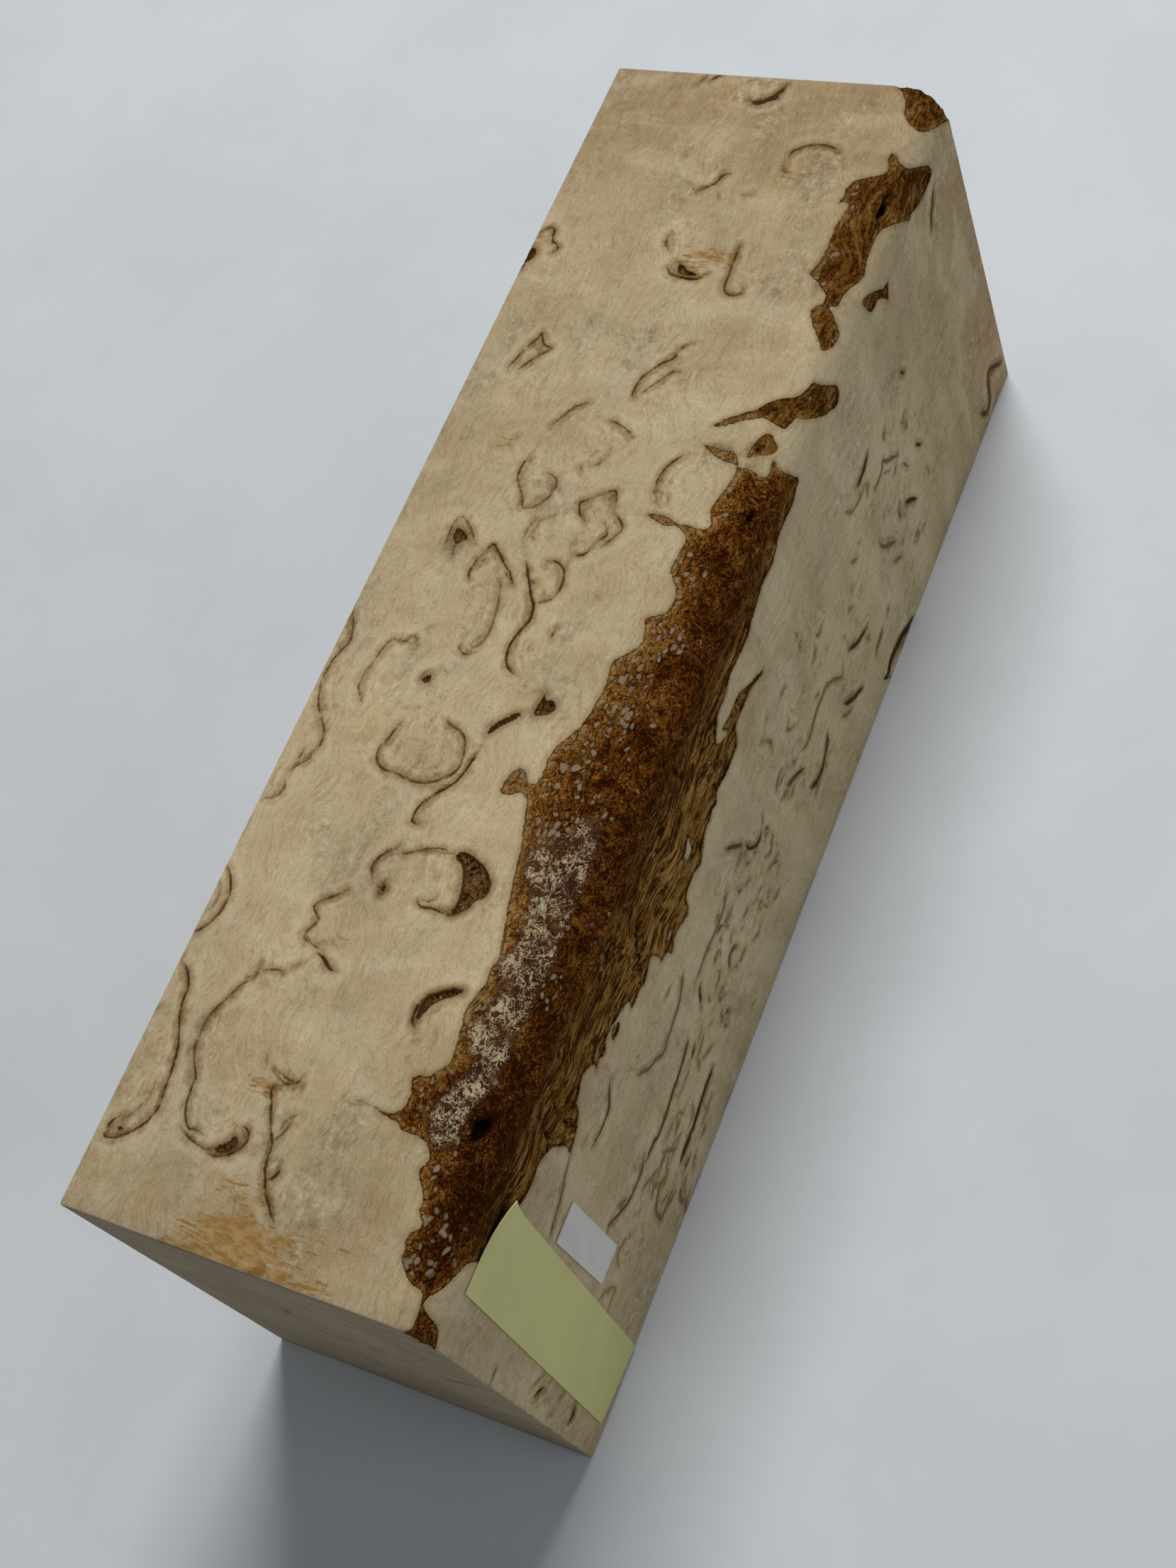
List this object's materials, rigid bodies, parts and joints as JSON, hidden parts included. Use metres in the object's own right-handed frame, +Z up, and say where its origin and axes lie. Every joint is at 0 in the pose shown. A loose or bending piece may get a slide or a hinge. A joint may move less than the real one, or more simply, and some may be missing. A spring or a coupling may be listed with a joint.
{
  "type": "masur birch block",
  "caption": "Sawn rectangular block of figured birch with a rounded bark-edged wane along one long edge and two blank paper labels, for carving or turning.",
  "frame": {"origin": "centre of the block's underside, the 34 by 122 mm face it stands on", "axes": "+X along the grain, away from the end that carries the labels; -Y out of the labelled front face; +Z up out of the top face"},
  "size_m": [0.122, 0.035, 0.042],
  "materials": {
    "birch_wood": "sanded, unfinished, matt",
    "note_paper": "pale yellow-green writing paper, matt",
    "tag_paper": "white label paper, matt"
  },
  "bodies": {
    "root": {"birch_block": "birch_wood", "size_note": "note_paper", "stock_tag": "tag_paper"}
  },
  "joints": []
}
